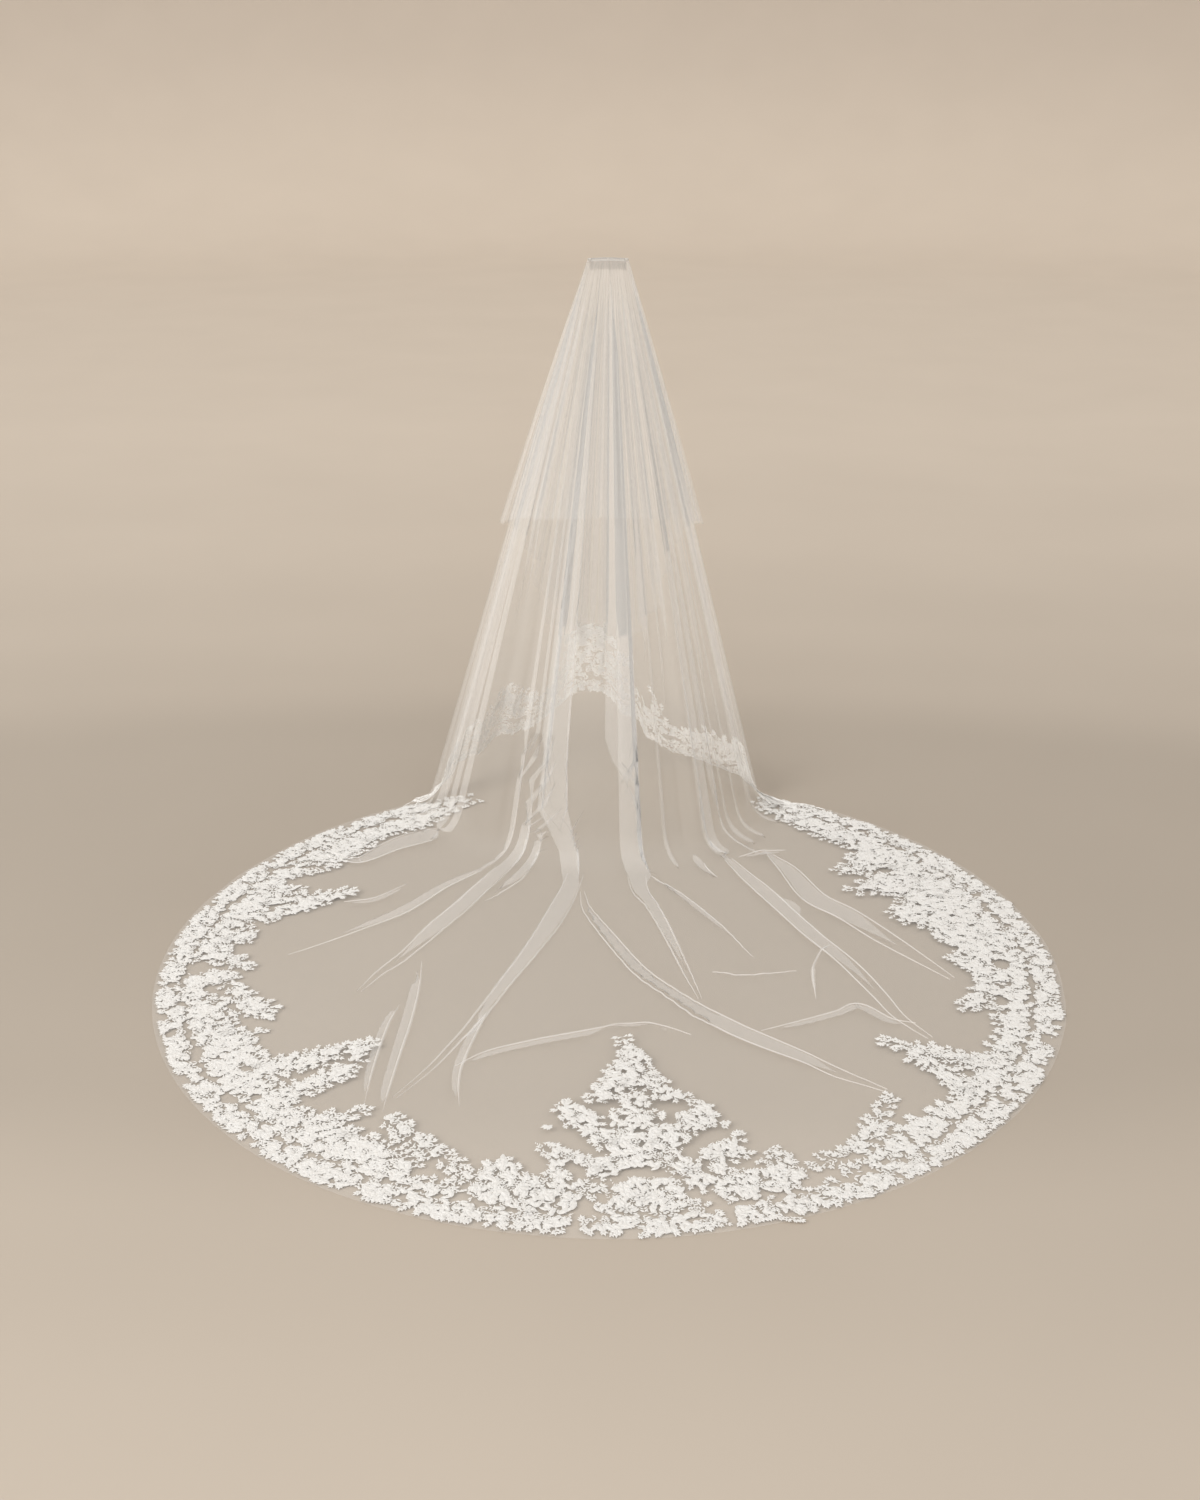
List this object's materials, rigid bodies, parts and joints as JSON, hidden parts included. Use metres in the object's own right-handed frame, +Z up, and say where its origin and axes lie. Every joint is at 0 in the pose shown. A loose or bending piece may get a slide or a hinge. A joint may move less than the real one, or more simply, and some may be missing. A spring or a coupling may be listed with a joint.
{
  "type": "tiered bridal veil on a wire comb",
  "caption": "Sheer tiered bridal veil gathered on a wire comb, with a long round train edged in floral lace.",
  "frame": {"origin": "middle of the comb's rail, where the veil pins into the hair", "axes": "+Z up, -Y towards the end of the train behind the wearer, +Y towards the front fall, X along the comb"},
  "size_m": [2.2587, 2.392, 1.6211],
  "materials": {
    "tulle": "fine sheer ivory net",
    "lace": "corded floral applique in ivory",
    "stitching": "ivory tulle gathered and overcast with thread",
    "comb_wire": "bright silver-grey wire"
  },
  "bodies": {
    "root": {"comb": "comb_wire", "gather_band": "stitching", "short_tier": "tulle", "long_tier": "tulle", "lace_border": "lace"}
  },
  "joints": []
}
